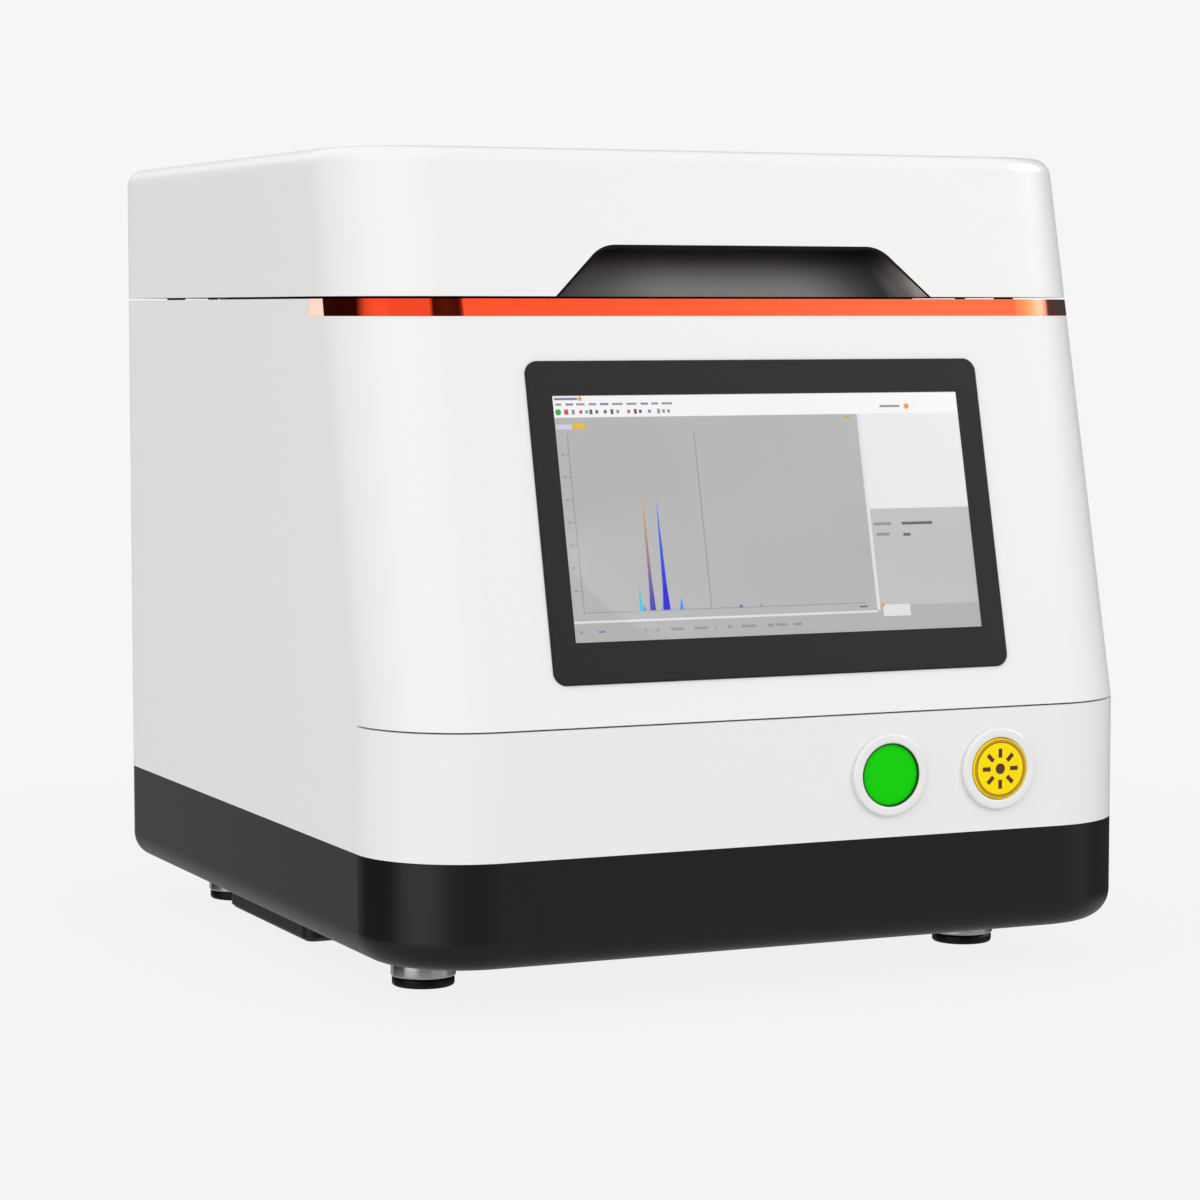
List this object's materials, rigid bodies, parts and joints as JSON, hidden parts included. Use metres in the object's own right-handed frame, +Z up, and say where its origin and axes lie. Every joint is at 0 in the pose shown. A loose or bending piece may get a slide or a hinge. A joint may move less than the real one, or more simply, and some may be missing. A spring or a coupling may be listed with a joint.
{
  "type": "benchtop x-ray fluorescence analyzer",
  "caption": "White benchtop analyzer with leaning touchscreen front, thick hinged lid over a sample well, orange light strip, push buttons and black base.",
  "frame": {"origin": "centre of the whole part's footprint, on the surface that it stands on", "axes": "+X to the right seen from the front, -Y towards the user, +Z up"},
  "size_m": [0.4, 0.4386, 0.4022],
  "materials": {
    "white_shell": "smooth semi-gloss white moulded shell",
    "black_base": "satin black moulding",
    "black_bezel": "satin dark grey frame",
    "acrylic_orange": "polished coloured acrylic",
    "dark_cup": "dark metallic paint",
    "green_cap": "gloss cap",
    "yellow_cap": "gloss cap",
    "white_ring": "smooth white moulding",
    "foot_metal": "turned and brushed",
    "steel": "brushed stainless steel",
    "zinc_screw": "plated screw",
    "rubber": "matt rubber",
    "deck_paint": "fine powder coat",
    "liner_paint": "fine powder coat",
    "panel_paint": "fine powder coat",
    "aluminium": "machined",
    "glass": "polished cover glass",
    "film": "thin clear film",
    "lcd": "lit screen face",
    "board_green": "lacquered circuit board",
    "led_white": "flexible lamp ribbon",
    "black_plastic": "moulded black plastic",
    "brass_pin": "plated contact",
    "magnet": "plated magnet"
  },
  "bodies": {
    "case": {"base_tray": "black_base", "foot_cups": "foot_metal", "foot_pads": "rubber", "foot_screws": "zinc_screw", "lifting_grips": "black_plastic", "main_housing": "white_shell", "control_panel": "white_shell", "light_strip": "acrylic_orange", "led_ribbon": "led_white", "start_ring": "white_ring", "start_switch": "black_plastic", "xray_ring": "white_ring", "xray_switch": "black_plastic", "button_nuts": "black_plastic", "display_bezel": "black_bezel", "touch_glass": "glass", "lcd_panel": "lcd", "display_bracket": "steel", "top_deck": "deck_paint", "deck_screws": "zinc_screw", "sample_well": "steel", "stage_plate": "aluminium", "window_ring": "aluminium", "window_film": "film", "interlock_sensor": "black_plastic", "optics_block": "aluminium", "wheel_motor": "steel", "xray_tube": "steel", "detector": "steel", "sample_camera": "black_plastic", "chassis_plate": "steel", "main_board": "board_green", "hv_supply": "panel_paint", "power_supply": "steel", "pulse_processor": "aluminium", "rear_panel": "panel_paint", "rear_screws": "zinc_screw", "fan_frame": "black_plastic", "power_inlet": "black_plastic", "inlet_pins": "brass_pin", "io_ports": "steel", "io_board": "board_green", "hinge_leaves_lower": "steel", "hinge_pins": "zinc_screw", "hinge_screws_lower": "zinc_screw"},
    "lid": {"lid_shell": "white_shell", "handle_cup": "dark_cup", "lid_liner": "liner_paint", "shield_pan": "liner_paint", "lid_screws": "zinc_screw", "lid_gasket": "rubber", "lid_bumpers": "rubber", "interlock_magnet": "magnet", "hinge_leaves_upper": "steel", "hinge_screws_upper": "zinc_screw"},
    "start_button": {"start_cap": "green_cap"},
    "xray_button": {"xray_cap": "yellow_cap"},
    "filter_wheel": {"collimator_wheel": "aluminium"},
    "fan_blades": {"fan_rotor": "black_plastic"},
    "rocker": {"power_rocker": "black_plastic"}
  },
  "joints": [
    {"name": "lid_hinge", "type": "hinge", "parent": "case", "child": "lid", "pos_m": [0, 0.21435, 0.33135], "axis": [-1, 0, 0], "range_deg": [0, 80]},
    {"name": "start_push", "type": "slide", "parent": "case", "child": "start_button", "axis": [0, 1, 0], "range_m": [0, 0.0025], "stiffness_N_per_m": 400},
    {"name": "xray_push", "type": "slide", "parent": "case", "child": "xray_button", "axis": [0, 1, 0], "range_m": [0, 0.0025], "stiffness_N_per_m": 400},
    {"name": "wheel_turn", "type": "hinge", "parent": "case", "child": "filter_wheel", "pos_m": [-0.03889, 0.05036, 0.23491], "axis": [-0.7071, 0, -0.7071], "continuous": true},
    {"name": "fan_spin", "type": "hinge", "parent": "case", "child": "fan_blades", "pos_m": [0.08, 0.19885, 0.2365], "axis": [0, 1, 0], "continuous": true},
    {"name": "rocker_tilt", "type": "hinge", "parent": "case", "child": "rocker", "pos_m": [-0.11, 0.20935, 0.1695], "axis": [1, 0, 0], "range_deg": [0, 16]}
  ]
}
